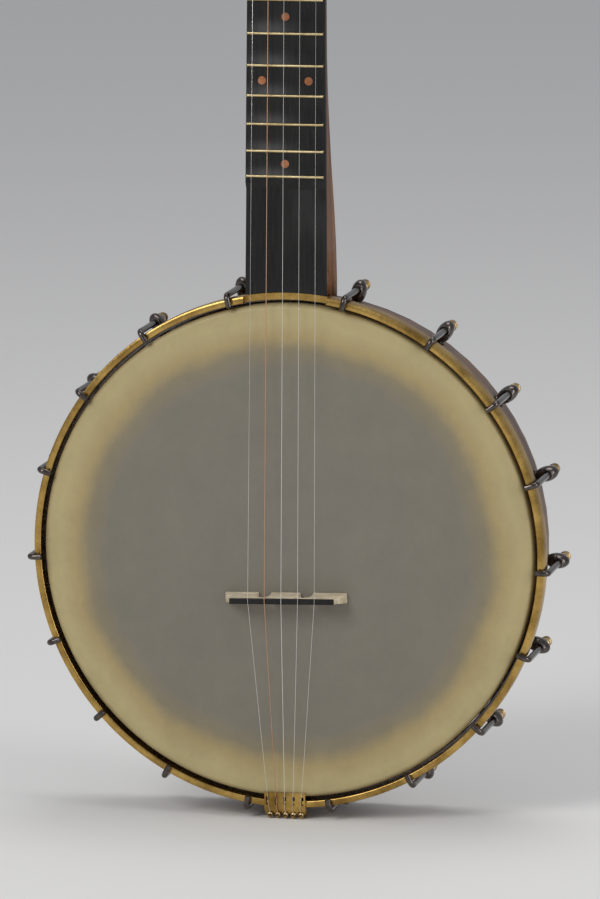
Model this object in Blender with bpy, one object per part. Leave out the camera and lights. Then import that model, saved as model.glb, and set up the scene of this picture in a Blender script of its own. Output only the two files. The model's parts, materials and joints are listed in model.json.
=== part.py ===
"""Five-string open-back banjo, built standing upright: neck along +Z, head facing -Y, +X to the viewer's right.

The pot (rim, tone ring, head and hoops) is made round the Y axis of an empty at the middle of the head's
front surface. The neck and peghead each have their own empty, tilted back as the real ones are. The world
origin is the point under the peghead where a wall hanger or a stand's yoke carries the instrument.
"""

import math

import bmesh
import bpy
from mathutils import Matrix, Vector

# Driving dimensions of the pot, in metres. Depths run back (+Y) from the front surface of the head.
RIM_RADIUS = 0.1524
RIM_WALL = 0.011
RIM_BACK = 0.059
TONE_RING_DEPTH = 0.019
TONE_RING_SHEET = 0.0014
TONE_FLANGE_RADIUS = 0.126
SKIN = 0.0004
SHOULDER = 0.0036
HOOP_GAP = 0.0024
HOOP_WALL = 0.0041
HOOP_HEIGHT = 0.0127
HOOP_FRONT = -0.0006
HOOP_CHAMFER = 0.0007
NOTCH_DEPTH = 0.0066
FLESH_WALL = 0.0047
FLESH_HEIGHT = 0.005
CLEARANCE = 0.0003
RING_SIDES = 64

# Brackets: a hook over the hoop, a ball shoe screwed to the rim and a nut behind the shoe.
NECK_BRACKET_ANGLE = 13.1
FIRST_BRACKET_ANGLE = 34.2
LAST_BRACKET_ANGLE = 170.7
BRACKETS_PER_SIDE = 8
HOOK_RADIUS = 0.0019
SHOE_RADIAL = 0.0075
SHOE_HALF_DEPTH = 0.0066
SHOE_HALF_WIDTH = 0.0048
SHOE_MIDDLE = 0.0435
NUT_LENGTH = 0.0125
NUT_RADIUS = 0.0036
SCREW_RADIUS = 0.0022
SCREW_HEAD = 0.0024

# Neck. Lengths along it run from the bridge line, and its tilt is measured from the head.
SCALE_LENGTH = 0.617
NECK_TILT = math.radians(3.27)
FRET_COUNT = 15
FRET_HEIGHT = 0.0011
FRET_WIDTH = 0.0015
BOARD_THICKNESS = 0.0055
SCOOP_DEPTH = 0.0024
SCOOP_AFTER_LAST_FRET = 0.004
SCOOP_RAMP = 0.004
POT_END_WIDTH = 0.0504
POT_END_SHIFT = -0.001
NUT_WIDTH = 0.0349
NUT_SHIFT = 0.0018
FIFTH_FRET_WIDTH = 0.0467
FOURTH_STRING_MARGIN = 0.0032
SHOULDER_START = 0.0044
SHOULDER_LENGTH = 0.014
NECK_THICKNESS = 0.0225
HEEL_THICKNESS = 0.0525
HEEL_LENGTH = 0.157
NUT_THICKNESS = 0.005

# Peghead and tuners.
PEGHEAD_TILT = math.radians(14)
PEGHEAD_LENGTH = 0.160
PEGHEAD_HALF_WIDTH = 0.0345
PEGHEAD_THICKNESS = 0.013
OVERLAY_THICKNESS = 0.0022
LOWER_POST = 0.045
UPPER_POST = 0.103
LOWER_POST_SIDE = 0.0225
UPPER_POST_SIDE = 0.0205
POST_RADIUS = 0.003
POST_HEIGHT = 0.017
SHANK_RADIUS = 0.0047
DRUM_RADIUS = 0.0084
DRUM_LENGTH = 0.015
FIFTH_DRUM_RADIUS = 0.0062
FIFTH_DRUM_LENGTH = 0.006
FIFTH_POST_LENGTH = 0.0075
FIFTH_PEG_FROM_FRET = 0.026
KNOB_WIDTH = 0.021
KNOB_HEIGHT = 0.0145
KNOB_DEPTH = 0.009

# Strings, from the fifth (the viewer's left) to the first.
STRING_DIAMETERS = (0.00025, 0.00056, 0.0004, 0.0003, 0.00025)
BRIDGE_SPACING = 0.0104
BRIDGE_SHIFT = -0.0007
NUT_SPACING = 0.0095
FIFTH_STRING_MARGIN = 0.0039
STRING_OVER_NUT = 0.0007
STRING_OVER_FRETS = 0.0052
TURN_GAP = 0.00045

# Bridge and tailpiece.
BRIDGE_LINE = -0.028
BRIDGE_SLANT = math.radians(-1.26)
BRIDGE_HEIGHT = 0.0158
BRIDGE_HALF_LENGTH = 0.0382
BRIDGE_TOP_HALF = 0.0326
BRIDGE_FOOT = 0.0064
BRIDGE_TOP = 0.0034
SADDLE_HEIGHT = 0.0022
BRIDGE_ARCH = 0.0078
BRIDGE_MIDDLE_FOOT = 0.0184
TAIL_SHIFT = -0.002
TAIL_WIDTH = 0.0258
TAIL_PLATE = 0.0012
TAIL_STRING_SPACING = 0.0055
TAIL_PIN_SPACING = 0.00486
TAIL_STRAP_WIDTH = 0.012
PIN_RADIUS = 0.0009
PIN_LENGTH = 0.0022

# Inside the pot.
DOWEL_WIDTH = 0.024
DOWEL_DEPTH = 0.020
DOWEL_MIDDLE = 0.041
DOWEL_IN_HEEL = 0.020
BRACE_THICKNESS = 0.003
BRACE_WIDTH = 0.048
END_BOLT_RADIUS = 0.003

# The hanger's yoke meets the back of the neck here.
HANGER_BELOW_NUT = 0.012

# Places that follow from the driving dimensions.
SKIN_RADIUS = RIM_RADIUS + CLEARANCE + SKIN
HOOP_INNER = SKIN_RADIUS + HOOP_GAP
HOOP_OUTER = HOOP_INNER + HOOP_WALL
HOOP_BACK = HOOP_FRONT + HOOP_HEIGHT
FLESH_INNER = SKIN_RADIUS + CLEARANCE
FLESH_FRONT = HOOP_BACK + CLEARANCE
FLESH_BACK = FLESH_FRONT + FLESH_HEIGHT
RING_FRONT = SKIN + CLEARANCE
RING_BACK = RING_FRONT + TONE_RING_DEPTH
RIM_FRONT = RING_BACK + CLEARANCE
RIM_INNER = RIM_RADIUS - RIM_WALL
HOOK_LINE = HOOP_OUTER + HOOK_RADIUS + 0.0008
CLAW_DEPTH = HOOP_FRONT - CLEARANCE - HOOK_RADIUS
BOARD_TOP = FRET_HEIGHT
BOARD_BACK = BOARD_TOP + BOARD_THICKNESS
WOOD_TOP = BOARD_BACK + CLEARANCE
FIFTH_FRET = SCALE_LENGTH * 2 ** (-5 / 12)
LAST_FRET = SCALE_LENGTH * 2 ** (-FRET_COUNT / 12)
HEEL_END = HOOP_OUTER - BRIDGE_LINE
POST_PLACES = (
    (-LOWER_POST_SIDE, LOWER_POST),
    (-UPPER_POST_SIDE, UPPER_POST),
    (UPPER_POST_SIDE, UPPER_POST),
    (LOWER_POST_SIDE, LOWER_POST),
)


def clear_scene():
    for obj in list(bpy.data.objects):
        bpy.data.objects.remove(obj)


def material(name, color, roughness, metallic=0.0):
    found = bpy.data.materials.get(name)
    if found:
        return found
    made = bpy.data.materials.new(name)
    made.use_nodes = True
    shader = made.node_tree.nodes["Principled BSDF"]
    shader.inputs["Base Color"].default_value = (*color, 1)
    shader.inputs["Roughness"].default_value = roughness
    shader.inputs["Metallic"].default_value = metallic
    made.diffuse_color = (*color, 1)
    return made


def walnut():
    return material("walnut", (0.16, 0.075, 0.035), 0.4)


def maple():
    return material("maple", (0.62, 0.45, 0.25), 0.45)


def ebony():
    return material("ebony", (0.012, 0.011, 0.011), 0.35)


def bone():
    return material("bone", (0.75, 0.69, 0.55), 0.4)


def skin():
    return material("head_skin", (0.33, 0.29, 0.21), 0.6)


def brass():
    return material("brass", (0.46, 0.31, 0.11), 0.35, 1.0)


def dark_nickel():
    return material("dark_nickel", (0.19, 0.17, 0.16), 0.25, 1.0)


def steel():
    return material("steel", (0.62, 0.60, 0.57), 0.25, 1.0)


def bronze():
    return material("bronze", (0.62, 0.33, 0.2), 0.35, 1.0)


def empty(name, parent=None, location=(0, 0, 0), tilt=0.0):
    """An empty whose own Y and Z axes are tipped back by tilt."""
    made = bpy.data.objects.new(name, None)
    bpy.context.scene.collection.objects.link(made)
    made.parent = parent
    made.location = location
    made.rotation_euler = (-tilt, 0, 0)
    return made


def mesh_of(points, faces):
    """A closed mesh with its faces turned outwards."""
    mesh = bpy.data.meshes.new("shape")
    mesh.from_pydata([tuple(point) for point in points], [], faces)
    shape = bmesh.new()
    shape.from_mesh(mesh)
    bmesh.ops.recalc_face_normals(shape, faces=shape.faces)
    shape.to_mesh(mesh)
    shape.free()
    mesh.shade_smooth()
    mesh.set_sharp_from_angle(angle=math.radians(35))
    return mesh


def add(name, mesh, finish, parent, location=(0, 0, 0), rotation=(0, 0, 0)):
    made = bpy.data.objects.new(name, mesh)
    bpy.context.scene.collection.objects.link(made)
    if not mesh.materials:
        mesh.materials.append(finish)
    made.parent = parent
    made.location = location
    made.rotation_euler = rotation
    return made


def loft(sections):
    """Skin over a row of outlines with equal point counts, with flat ends."""
    size = len(sections[0])
    points = [point for section in sections for point in section]
    faces = [list(range(size)), [len(points) - size + i for i in range(size)]]
    for row in range(len(sections) - 1):
        for i in range(size):
            j = (i + 1) % size
            faces.append((row * size + i, row * size + j, (row + 1) * size + j, (row + 1) * size + i))
    return mesh_of(points, faces)


def ring(profile, sides=RING_SIDES):
    """A closed (radius, depth) outline turned round the Y axis."""
    size = len(profile)
    points = []
    for step in range(sides):
        angle = 2 * math.pi * (step + 0.5) / sides
        points += [(r * math.sin(angle), y, r * math.cos(angle)) for r, y in profile]
    faces = []
    for step in range(sides):
        here = step * size
        there = (step + 1) % sides * size
        for i in range(size):
            j = (i + 1) % size
            faces.append((here + i, here + j, there + j, there + i))
    return mesh_of(points, faces)


def turned(profile, sides):
    """A (radius, depth) outline whose first and last points lie on the Y axis, turned round that axis."""
    inner = profile[1:-1]
    size = len(inner)
    points = [(0, profile[0][1], 0), (0, profile[-1][1], 0)]
    for step in range(sides):
        angle = 2 * math.pi * step / sides
        points += [(r * math.sin(angle), y, r * math.cos(angle)) for r, y in inner]
    faces = []
    for step in range(sides):
        here = 2 + step * size
        there = 2 + (step + 1) % sides * size
        faces += [(0, here, there), (1, there + size - 1, here + size - 1)]
        for i in range(size - 1):
            faces.append((here + i, here + i + 1, there + i + 1, there + i))
    return mesh_of(points, faces)


def box(low, high):
    corners = [(x, y, z) for x in (low[0], high[0]) for y in (low[1], high[1]) for z in (low[2], high[2])]
    faces = [(0, 1, 3, 2), (4, 6, 7, 5), (0, 4, 5, 1), (2, 3, 7, 6), (0, 2, 6, 4), (1, 5, 7, 3)]
    return mesh_of(corners, faces)


def prism(outline, low, high, place):
    """An outline swept from low to high, with place giving a point from its two coordinates and the third."""
    return loft([[place(a, b, level) for a, b in outline] for level in (low, high)])


def moved(mesh, matrix):
    copy = mesh.copy()
    copy.transform(matrix)
    if matrix.determinant() < 0:
        copy.flip_normals()
    return copy


def combined(base, *steps):
    """The base mesh after Boolean steps, each a pair of operation and mesh."""
    scene = bpy.context.scene.collection
    work = bpy.data.objects.new("work", base.copy())
    scene.objects.link(work)
    tools = []
    for operation, mesh in steps:
        tool = bpy.data.objects.new("tool", mesh)
        scene.objects.link(tool)
        tools.append(tool)
        step = work.modifiers.new("step", "BOOLEAN")
        step.operation = operation
        step.solver = "EXACT"
        step.object = tool
    bpy.context.view_layer.update()
    graph = bpy.context.evaluated_depsgraph_get()
    made = bpy.data.meshes.new_from_object(work.evaluated_get(graph))
    for used in [work, *tools]:
        bpy.data.objects.remove(used)
    made.materials.clear()
    made.shade_smooth()
    made.set_sharp_from_angle(angle=math.radians(35))
    return made


def arc(centre, radius, start, end, steps):
    """Points on a circle, with angles in degrees from the first axis towards the second."""
    found = []
    for i in range(steps + 1):
        angle = math.radians(start + (end - start) * i / steps)
        found.append((centre[0] + radius * math.cos(angle), centre[1] + radius * math.sin(angle)))
    return found


def tube(points, radius, sides):
    """A round rod along points in one plane or in space, with flat ends."""
    points = [Vector(point) for point in points]
    side = None
    sections = []
    for i, point in enumerate(points):
        ahead = points[min(i + 1, len(points) - 1)] - points[max(i - 1, 0)]
        ahead.normalize()
        if side is None:
            side = ahead.orthogonal()
        side = (side - ahead * side.dot(ahead)).normalized()
        other = ahead.cross(side)
        turn = [2 * math.pi * step / sides for step in range(sides)]
        sections.append([point + radius * (math.cos(a) * side + math.sin(a) * other) for a in turn])
    return loft(sections)


def board_right(along):
    share = (along - HEEL_END) / (SCALE_LENGTH - HEEL_END)
    pot = POT_END_SHIFT + POT_END_WIDTH / 2
    return pot + (NUT_SHIFT + NUT_WIDTH / 2 - pot) * share


def board_left(along):
    """Left edge of the board: full width up to the fifth fret, then a curved shoulder to the four-string width."""
    pot = POT_END_SHIFT - POT_END_WIDTH / 2
    at_fifth = board_right(FIFTH_FRET) - FIFTH_FRET_WIDTH
    wide = pot + (at_fifth - pot) * (along - HEEL_END) / (FIFTH_FRET - HEEL_END)
    at_nut = NUT_SHIFT - NUT_WIDTH / 2
    share = (along - FIFTH_FRET) / (SCALE_LENGTH - FIFTH_FRET)
    narrow = string_x(1, FIFTH_FRET) - FOURTH_STRING_MARGIN
    narrow += (at_nut - narrow) * share
    start = FIFTH_FRET + SHOULDER_START
    fade = min(max((along - start) / SHOULDER_LENGTH, 0), 1)
    fade = fade * fade * (3 - 2 * fade)
    return wide + (narrow - wide) * fade


def string_x(index, along):
    """Sideways place of a string at a distance from the bridge. Index 0 is the fifth string."""
    at_bridge = BRIDGE_SHIFT + (index - 2) * BRIDGE_SPACING
    if index == 0:
        at_fifth = board_right(FIFTH_FRET) - FIFTH_FRET_WIDTH + FIFTH_STRING_MARGIN
        return at_bridge + (at_fifth - at_bridge) * along / FIFTH_FRET
    at_nut = NUT_SHIFT + (index - 2.5) * NUT_SPACING
    return at_bridge + (at_nut - at_bridge) * along / SCALE_LENGTH


def neck_thickness(along):
    """Depth of the neck's back under the frets, swelling into the heel."""
    share = min(max((HEEL_END + HEEL_LENGTH - along) / HEEL_LENGTH, 0), 1)
    share = share * share * (3 - 2 * share)
    return NECK_THICKNESS + (HEEL_THICKNESS - NECK_THICKNESS) * share


def pot_outside(reach):
    """Cutter with the shape that the neck's end fits round: the hoops in front and the rim behind them."""
    front = -0.05
    hoop = HOOP_OUTER + 2 * CLEARANCE
    behind = FLESH_BACK + CLEARANCE
    rim = RIM_RADIUS + CLEARANCE
    profile = [(0, front), (hoop, front), (hoop, behind), (rim, behind), (rim, reach), (0, reach)]
    return turned(profile, RING_SIDES * 2)


def build_pot(pot):
    shoulder_middle = (SKIN_RADIUS - SHOULDER, SHOULDER)
    outer = arc(shoulder_middle, SHOULDER, -90, 0, 3)
    inner = arc(shoulder_middle, SHOULDER - SKIN, 0, -90, 3)
    bead_radius = SHOULDER - SKIN - CLEARANCE
    bead = arc((RIM_RADIUS - bead_radius, RING_FRONT + bead_radius), bead_radius, 0, -90, 3)

    rim = ring([
        (RIM_INNER, RIM_FRONT),
        (RIM_RADIUS, RIM_FRONT),
        (RIM_RADIUS, RIM_BACK - 0.0015),
        (RIM_RADIUS - 0.0015, RIM_BACK),
        (RIM_INNER, RIM_BACK),
    ])
    cuts = [("DIFFERENCE", moved(screw_hole(), bracket_turn(angle))) for angle in bracket_angles()]
    hole = dowel_box(CLEARANCE, RIM_INNER - 0.02, RIM_RADIUS + 0.02)
    cuts.append(("DIFFERENCE", hole))
    cuts.append(("DIFFERENCE", end_bolt_bore(RIM_INNER - 0.01, RIM_RADIUS + 0.01)))
    add("rim", combined(rim, *cuts), walnut(), pot)

    crown = RIM_RADIUS - bead_radius
    slope = [(crown - 0.004, RING_FRONT + 0.0024), (crown - 0.0105, RING_FRONT + 0.0105)]
    lip = (TONE_FLANGE_RADIUS, RING_BACK - TONE_RING_SHEET * 1.5)
    under = [(r, y + TONE_RING_SHEET * 1.5) for r, y in [lip, *slope[::-1]]]
    add("tone_ring", ring([
        (RIM_RADIUS, RING_BACK),
        *bead,
        *slope,
        lip,
        *under,
        (crown, RING_FRONT + TONE_RING_SHEET * 1.8),
        (RIM_RADIUS - TONE_RING_SHEET, RING_FRONT + bead_radius),
        (RIM_RADIUS - TONE_RING_SHEET, RING_BACK),
    ]), brass(), pot)

    collar = FLESH_BACK - CLEARANCE
    add("head", turned([
        (0, 0),
        *outer,
        (SKIN_RADIUS, collar),
        (SKIN_RADIUS - SKIN, collar),
        *inner,
        (0, SKIN),
    ], RING_SIDES), skin(), pot).rotation_euler = (0, math.pi / RING_SIDES, 0)
    add("flesh_hoop", ring([
        (FLESH_INNER, FLESH_FRONT),
        (FLESH_INNER + FLESH_WALL, FLESH_FRONT),
        (FLESH_INNER + FLESH_WALL, FLESH_BACK),
        (FLESH_INNER, FLESH_BACK),
    ]), steel(), pot)

    hoop = ring([
        (HOOP_INNER, HOOP_FRONT + HOOP_CHAMFER / 2),
        (HOOP_INNER + HOOP_CHAMFER / 2, HOOP_FRONT),
        (HOOP_OUTER - HOOP_CHAMFER, HOOP_FRONT),
        (HOOP_OUTER, HOOP_FRONT + HOOP_CHAMFER),
        (HOOP_OUTER, HOOP_BACK),
        (HOOP_INNER, HOOP_BACK),
    ])
    side = CLEARANCE * 2
    notch = box(
        (board_left(HEEL_END) - side, -0.02, HOOP_INNER - 0.02),
        (board_right(HEEL_END) + side, HOOP_FRONT + NOTCH_DEPTH, HOOP_OUTER + 0.02),
    )
    add("tension_hoop", combined(hoop, ("DIFFERENCE", notch)), brass(), pot)


def bracket_angles():
    """Clockwise from the neck, in degrees."""
    step = (LAST_BRACKET_ANGLE - FIRST_BRACKET_ANGLE) / (BRACKETS_PER_SIDE - 1)
    right = [NECK_BRACKET_ANGLE] + [FIRST_BRACKET_ANGLE + step * i for i in range(BRACKETS_PER_SIDE)]
    return right + [-angle for angle in right[::-1]]


def bracket_turn(angle):
    return Matrix.Rotation(math.radians(angle), 4, "Y")


def screw_hole():
    across = SCREW_RADIUS + CLEARANCE
    axis = Matrix.Translation((0, SHOE_MIDDLE, 0)) @ Matrix.Rotation(math.pi / 2, 4, "X")
    low = RIM_INNER - 0.006
    high = RIM_RADIUS + 0.006
    return moved(turned([(0, low), (across, low), (across, high), (0, high)], 6), axis)


def bracket_mesh():
    """Hook, shoe, screw and nut of one bracket, at the top of the pot."""
    bend = 0.0026
    foot = RIM_RADIUS + CLEARANCE
    middle = foot + SHOE_RADIAL
    claw_end = HOOP_INNER - 0.0004
    corner = arc((HOOK_LINE - bend, CLAW_DEPTH + bend), bend, -90, 0, 3)
    nut_front = SHOE_MIDDLE + SHOE_HALF_DEPTH - 0.0012
    path = [(0, CLAW_DEPTH, claw_end)]
    path += [(0, y, z) for z, y in corner]
    path += [(0, nut_front + 0.004, HOOK_LINE)]
    hook = tube(path, HOOK_RADIUS, 6)

    ball = turned([(0, -1), *[(r, y) for y, r in arc((0, 0), 1, 155, 25, 4)], (0, 1)], 8)
    shoe = moved(
        ball,
        Matrix.Translation((0, SHOE_MIDDLE, middle))
        @ Matrix.Diagonal((SHOE_HALF_WIDTH, SHOE_HALF_DEPTH, SHOE_RADIAL * 1.02, 1)),
    )
    cut = box((-0.02, SHOE_MIDDLE - 0.02, foot - 0.02), (0.02, SHOE_MIDDLE + 0.02, foot))

    axis = Matrix.Translation((0, SHOE_MIDDLE, 0)) @ Matrix.Rotation(math.pi / 2, 4, "X")
    seat = SHOE_HALF_WIDTH * 0.8
    neck = moved(turned([(0, foot), (seat, foot), (seat, middle), (0, middle)], 8), axis)
    inside = RIM_INNER - CLEARANCE
    screw = moved(turned([
        (0, inside - SCREW_HEAD),
        (SCREW_RADIUS * 2, inside - SCREW_HEAD),
        (SCREW_RADIUS * 2, inside),
        (SCREW_RADIUS, inside),
        (SCREW_RADIUS, foot + 0.002),
        (0, foot + 0.002),
    ], 6), axis)

    rear = nut_front + NUT_LENGTH
    nut = moved(turned([
        (0, nut_front),
        (NUT_RADIUS, nut_front),
        (NUT_RADIUS, rear - 0.0035),
        (NUT_RADIUS * 0.72, rear - 0.0028),
        (NUT_RADIUS * 0.72, rear),
        (0, rear),
    ], 8), Matrix.Translation((0, 0, HOOK_LINE)))
    return combined(
        shoe,
        ("DIFFERENCE", cut),
        ("UNION", neck),
        ("UNION", hook),
        ("UNION", nut),
        ("UNION", screw),
    )


def build_brackets(pot):
    mesh = bracket_mesh()
    for number, angle in enumerate(bracket_angles(), start=1):
        rotation = (0, math.radians(angle), 0)
        add(f"bracket_{number:02d}", mesh, dark_nickel(), pot, rotation=rotation)


def dowel_box(grow, low, high):
    return box(
        (-DOWEL_WIDTH / 2 - grow, DOWEL_MIDDLE - DOWEL_DEPTH / 2 - grow, low),
        (DOWEL_WIDTH / 2 + grow, DOWEL_MIDDLE + DOWEL_DEPTH / 2 + grow, high),
    )


def end_bolt_bore(low, high):
    across = END_BOLT_RADIUS + CLEARANCE
    axis = Matrix.Translation((0, DOWEL_MIDDLE, 0)) @ Matrix.Rotation(-math.pi / 2, 4, "X")
    return moved(turned([(0, low), (across, low), (across, high), (0, high)], 12), axis)


def build_inside(pot):
    """The dowel stick that carries the rim, its brace and the end bolt."""
    reach = RIM_RADIUS + CLEARANCE + DOWEL_IN_HEEL
    stick_end = RIM_INNER - 0.0009
    stick = dowel_box(0, -stick_end, reach)
    bolt_end = RIM_INNER - 0.022
    bore = end_bolt_bore(bolt_end - CLEARANCE, RIM_RADIUS)
    add("dowel_stick", combined(stick, ("DIFFERENCE", bore)), walnut(), pot)

    half = BRACE_WIDTH / 2
    high = math.sqrt((RIM_INNER * math.cos(math.pi / RING_SIDES)) ** 2 - half ** 2) - CLEARANCE
    low = high - BRACE_THICKNESS
    front = DOWEL_MIDDLE - DOWEL_DEPTH / 2
    back = DOWEL_MIDDLE + DOWEL_DEPTH / 2
    plate = box((-half, front - 0.005, low), (half, back + 0.005, high))
    lug = box((-0.005, back + 0.0035, low - 0.012), (0.005, back + 0.009, low + 0.002))
    opening = dowel_box(CLEARANCE, low - 0.01, high + 0.01)
    add("neck_brace", combined(plate, ("UNION", lug), ("DIFFERENCE", opening)), brass(), pot)

    axis = Matrix.Translation((0, DOWEL_MIDDLE, 0)) @ Matrix.Rotation(-math.pi / 2, 4, "X")
    outside = tail_wall() + TAIL_PLATE + CLEARANCE
    bolt = moved(turned([
        (0, bolt_end),
        (END_BOLT_RADIUS, bolt_end),
        (END_BOLT_RADIUS, outside),
        (0.0055, outside),
        (0.0055, outside + 0.003),
        (0.0035, outside + 0.005),
        (0, outside + 0.005),
    ], 12), axis)
    add("end_bolt", bolt, brass(), pot)


def tail_wall():
    """Distance below the pot's middle of the tailpiece's strap."""
    return HOOP_OUTER + 2 * CLEARANCE


def tail_lip(share):
    """Point (depth, height) on the outer face of the sloping lip that holds the pins."""
    top = (HOOP_FRONT - CLEARANCE - TAIL_PLATE, -HOOP_OUTER - 0.0008)
    foot = (top[0] + 0.0052, top[1] - 0.0052)
    return tuple(a + (b - a) * share for a, b in zip(top, foot))


def build_tailpiece(pot):
    front = HOOP_FRONT - CLEARANCE - TAIL_PLATE
    wall = -tail_wall()
    start = tail_lip(0)
    foot = tail_lip(1)
    plate_top = -HOOP_INNER + 0.0055
    plate = [
        (front, plate_top),
        start,
        foot,
        (foot[0] + TAIL_PLATE, foot[1] + TAIL_PLATE * 0.6),
        (front + TAIL_PLATE + 0.0022, wall),
        (front + TAIL_PLATE, wall),
        (front + TAIL_PLATE, plate_top),
    ]
    low = TAIL_SHIFT - TAIL_WIDTH / 2
    high = TAIL_SHIFT + TAIL_WIDTH / 2
    body = prism(plate, low, high, lambda y, z, x: (x, y, z))
    strap_back = DOWEL_MIDDLE + 0.007
    strap = box(
        (-TAIL_STRAP_WIDTH / 2, front + TAIL_PLATE + 0.0005, wall - TAIL_PLATE),
        (TAIL_STRAP_WIDTH / 2, strap_back, wall),
    )
    slope = math.atan2(foot[1] - start[1], foot[0] - start[0])
    pin_y, pin_z = tail_lip(0.62)
    pins = []
    for index in range(5):
        place = Matrix.Translation((pin_x(index), pin_y, pin_z)) @ Matrix.Rotation(slope, 4, "X")
        low_end = TAIL_PLATE * 0.5
        cap = PIN_LENGTH + 0.0006
        pin = turned([
            (0, low_end),
            (PIN_RADIUS, low_end),
            (PIN_RADIUS, -PIN_LENGTH),
            (PIN_RADIUS * 1.3, -PIN_LENGTH),
            (PIN_RADIUS * 1.3, -cap),
            (0, -cap),
        ], 6)
        pins.append(("UNION", moved(pin, place @ Matrix.Rotation(math.pi / 2, 4, "X"))))
    bore = end_bolt_bore(RIM_RADIUS, tail_wall() + 0.02)
    made = combined(body, ("UNION", strap), *pins, ("DIFFERENCE", bore))
    add("tailpiece", made, brass(), pot)


def pin_x(index):
    return TAIL_SHIFT + (index - 2) * TAIL_PIN_SPACING


def build_bridge(pot):
    foot = -CLEARANCE
    wood_top = -BRIDGE_HEIGHT + SADDLE_HEIGHT + CLEARANCE
    arch_top = wood_top * 0.55
    centre = BRIDGE_MIDDLE_FOOT / 2
    arch_end = centre + BRIDGE_ARCH
    half = [
        (centre, foot),
        *arc(((centre + arch_end) / 2, arch_top), BRIDGE_ARCH / 2, -180, 0, 4),
        (arch_end, foot),
        (BRIDGE_HALF_LENGTH, foot),
        (BRIDGE_HALF_LENGTH - 0.001, foot - 0.004),
        (BRIDGE_TOP_HALF + 0.0004, wood_top + 0.001),
        (BRIDGE_TOP_HALF, wood_top),
    ]
    outline = half + [(-x, y) for x, y in half[::-1]]

    def place(x, y, side):
        share = y / wood_top
        return (x, y, side * (BRIDGE_FOOT + (BRIDGE_TOP - BRIDGE_FOOT) * share) / 2)

    at = (BRIDGE_SHIFT, 0, BRIDGE_LINE)
    turn = (0, BRIDGE_SLANT, 0)
    add("bridge", prism(outline, -1, 1, place), maple(), pot, at, turn)
    cap = box(
        (-BRIDGE_TOP_HALF, -BRIDGE_HEIGHT, -BRIDGE_TOP / 2),
        (BRIDGE_TOP_HALF, wood_top - CLEARANCE, BRIDGE_TOP / 2),
    )
    add("bridge_saddle", cap, ebony(), pot, at, turn)


def neck_section(along, top):
    """Outline of the neck across at one distance from the bridge: flat on top and rounded behind."""
    left = board_left(along)
    right = board_right(along)
    middle = (left + right) / 2
    half = (right - left) / 2
    deep = neck_thickness(along) - top
    share = (neck_thickness(along) - NECK_THICKNESS) / (HEEL_THICKNESS - NECK_THICKNESS)
    power = 2 / (2.3 + 3.2 * share)
    found = []
    steps = 12
    for step in range(steps + 1):
        angle = math.pi * step / steps
        across = math.copysign(abs(math.cos(angle)) ** power, math.cos(angle))
        found.append((middle + half * across, top + deep * abs(math.sin(angle)) ** power, along))
    return found


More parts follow.
